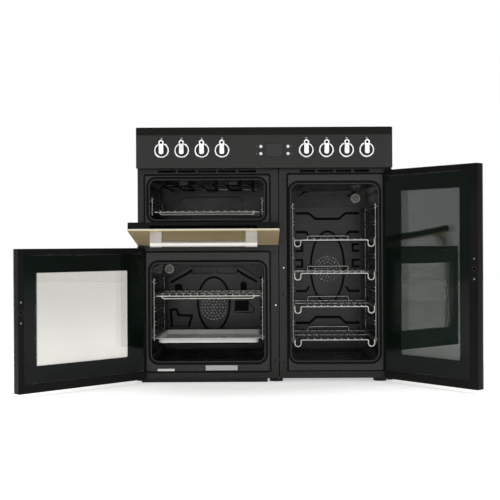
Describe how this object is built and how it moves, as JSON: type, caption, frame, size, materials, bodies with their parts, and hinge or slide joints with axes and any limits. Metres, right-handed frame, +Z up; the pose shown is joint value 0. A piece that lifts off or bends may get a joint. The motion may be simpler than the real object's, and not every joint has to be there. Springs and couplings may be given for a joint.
{
  "type": "range cooker with double oven",
  "caption": "Freestanding electric range cooker with a ceramic hob, a drop-door grill over a fan oven and a tall side fan oven, its doors standing open on wire shelves.",
  "frame": {"origin": "on the floor, midway between the side panels and midway between the front frame and the back panel", "axes": "+X to the right as seen from the front, -Y to the front, +Z up"},
  "size_m": [1.5107, 0.9518, 0.9],
  "materials": {
    "enamel": "dark mottled vitreous enamel, satin",
    "panel_black": "black enamelled panel, satin",
    "skin": "black painted steel, satin",
    "zinc": "zinc coated sheet, dull",
    "chrome": "bright chromed",
    "steel_wire": "chromed wire, bright",
    "aluminium": "satin anodised bar",
    "door_glass": "bronze tinted reflective glass, gloss",
    "pane_glass": "heat resisting glass with a black printed border",
    "ceramic": "black ceramic glass, high gloss",
    "knob_black": "black disc with a chromed grip",
    "button": "silvered push button, satin",
    "display": "dark display lens, gloss",
    "rope": "woven glass fibre rope",
    "wool": "mineral wool, compressed",
    "element": "heat-darkened sheathed element",
    "plastic": "moulded heat resisting plastic",
    "tray": "grey enamelled tray, gloss",
    "door_metal": "black painted folded sheet",
    "lamp": "clear moulded lens"
  },
  "bodies": {
    "body": {"side_panels": "skin", "back_panel": "zinc", "base_tray": "zinc", "plinth": "skin", "levelling_feet": "plastic", "left_front_frame": "enamel", "right_front_frame": "enamel", "hob_frame": "skin", "hob_glass": "ceramic", "radiant_heaters": "wool", "control_fascia": "panel_black", "knob_bezels": "chrome", "rotary_switches": "plastic", "clock_display": "display", "grill_cavity": "enamel", "main_cavity": "enamel", "tall_cavity": "enamel", "door_seals": "rope", "cavity_insulation": "wool", "side_racks": "steel_wire", "fan_covers": "enamel", "heating_elements": "element", "oven_lamps": "lamp", "fan_motors": "zinc", "hinge_brackets": "zinc", "door_catches": "zinc", "mains_terminal": "plastic"},
    "main_fan": {"main_fan": "zinc"},
    "tall_fan": {"tall_fan": "zinc"},
    "grill_shelf": {"grill_shelf": "steel_wire"},
    "main_shelf": {"main_shelf": "steel_wire"},
    "main_tray": {"main_tray": "tray"},
    "tall_shelf_1": {"tall_shelf_1": "steel_wire"},
    "tall_shelf_2": {"tall_shelf_2": "steel_wire"},
    "tall_shelf_3": {"tall_shelf_3": "steel_wire"},
    "tall_shelf_4": {"tall_shelf_4": "steel_wire"},
    "knob_1": {"knob_1": "knob_black"},
    "knob_2": {"knob_2": "knob_black"},
    "knob_3": {"knob_3": "knob_black"},
    "knob_4": {"knob_4": "knob_black"},
    "knob_5": {"knob_5": "knob_black"},
    "knob_6": {"knob_6": "knob_black"},
    "knob_7": {"knob_7": "knob_black"},
    "knob_8": {"knob_8": "knob_black"},
    "clock_button_1": {"clock_button_1": "button"},
    "clock_button_2": {"clock_button_2": "button"},
    "clock_button_3": {"clock_button_3": "button"},
    "clock_button_4": {"clock_button_4": "button"},
    "main_door": {"main_door_frame": "door_metal", "main_door_glass": "door_glass", "main_door_pane": "pane_glass", "main_door_handle": "aluminium"},
    "tall_door": {"tall_door_frame": "door_metal", "tall_door_glass": "door_glass", "tall_door_pane": "pane_glass", "tall_door_handle": "aluminium"},
    "grill_door": {"grill_door_frame": "door_metal", "grill_door_glass": "door_glass", "grill_door_pane": "pane_glass", "grill_door_handle": "aluminium"}
  },
  "joints": [
    {"name": "knob_1_turn", "type": "hinge", "parent": "body", "child": "knob_1", "pos_m": [-0.359, -0.325, 0.819], "axis": [0, 1, 0], "range_deg": [0, 290]},
    {"name": "knob_2_turn", "type": "hinge", "parent": "body", "child": "knob_2", "pos_m": [-0.2885, -0.325, 0.819], "axis": [0, 1, 0], "range_deg": [0, 290]},
    {"name": "knob_3_turn", "type": "hinge", "parent": "body", "child": "knob_3", "pos_m": [-0.218, -0.325, 0.819], "axis": [0, 1, 0], "range_deg": [0, 290]},
    {"name": "knob_4_turn", "type": "hinge", "parent": "body", "child": "knob_4", "pos_m": [-0.1475, -0.325, 0.819], "axis": [0, 1, 0], "range_deg": [0, 290]},
    {"name": "knob_5_turn", "type": "hinge", "parent": "body", "child": "knob_5", "pos_m": [0.1475, -0.325, 0.819], "axis": [0, 1, 0], "range_deg": [0, 290]},
    {"name": "knob_6_turn", "type": "hinge", "parent": "body", "child": "knob_6", "pos_m": [0.218, -0.325, 0.819], "axis": [0, 1, 0], "range_deg": [0, 290]},
    {"name": "knob_7_turn", "type": "hinge", "parent": "body", "child": "knob_7", "pos_m": [0.2885, -0.325, 0.819], "axis": [0, 1, 0], "range_deg": [0, 290]},
    {"name": "knob_8_turn", "type": "hinge", "parent": "body", "child": "knob_8", "pos_m": [0.359, -0.325, 0.819], "axis": [0, 1, 0], "range_deg": [0, 290]},
    {"name": "clock_button_1_press", "type": "slide", "parent": "body", "child": "clock_button_1", "axis": [0, 1, 0], "range_m": [0, 0.0015], "stiffness_N_per_m": 600},
    {"name": "clock_button_2_press", "type": "slide", "parent": "body", "child": "clock_button_2", "axis": [0, 1, 0], "range_m": [0, 0.0015], "stiffness_N_per_m": 600},
    {"name": "clock_button_3_press", "type": "slide", "parent": "body", "child": "clock_button_3", "axis": [0, 1, 0], "range_m": [0, 0.0015], "stiffness_N_per_m": 600},
    {"name": "clock_button_4_press", "type": "slide", "parent": "body", "child": "clock_button_4", "axis": [0, 1, 0], "range_m": [0, 0.0015], "stiffness_N_per_m": 600},
    {"name": "main_door_hinge", "type": "hinge", "parent": "body", "child": "main_door", "pos_m": [-0.44, -0.299, 0.2463], "axis": [0, 0, -1], "range_deg": [-136.2, 0]},
    {"name": "tall_door_hinge", "type": "hinge", "parent": "body", "child": "tall_door", "pos_m": [0.44, -0.299, 0.3819], "axis": [0, 0, 1], "range_deg": [-131.6, 0]},
    {"name": "grill_door_hinge", "type": "hinge", "parent": "body", "child": "grill_door", "pos_m": [-0.2, -0.303, 0.4988], "axis": [1, 0, 0], "range_deg": [-79.4, 0]},
    {"name": "grill_shelf_slide", "type": "slide", "parent": "body", "child": "grill_shelf", "axis": [0, -1, 0], "range_m": [0, 0.28]},
    {"name": "main_shelf_slide", "type": "slide", "parent": "body", "child": "main_shelf", "axis": [0, -1, 0], "range_m": [0, 0.28]},
    {"name": "main_tray_slide", "type": "slide", "parent": "body", "child": "main_tray", "axis": [0, -1, 0], "range_m": [0, 0.28]},
    {"name": "tall_shelf_1_slide", "type": "slide", "parent": "body", "child": "tall_shelf_1", "axis": [0, -1, 0], "range_m": [0, 0.28]},
    {"name": "tall_shelf_2_slide", "type": "slide", "parent": "body", "child": "tall_shelf_2", "axis": [0, -1, 0], "range_m": [0, 0.28]},
    {"name": "tall_shelf_3_slide", "type": "slide", "parent": "body", "child": "tall_shelf_3", "axis": [0, -1, 0], "range_m": [0, 0.28]},
    {"name": "tall_shelf_4_slide", "type": "slide", "parent": "body", "child": "tall_shelf_4", "axis": [0, -1, 0], "range_m": [0, 0.28]},
    {"name": "main_fan_spin", "type": "hinge", "parent": "body", "child": "main_fan", "pos_m": [-0.202, 0.135, 0.2406], "axis": [0, 1, 0], "continuous": true},
    {"name": "tall_fan_spin", "type": "hinge", "parent": "body", "child": "tall_fan", "pos_m": [0.2485, 0.135, 0.392], "axis": [0, 1, 0], "continuous": true}
  ]
}
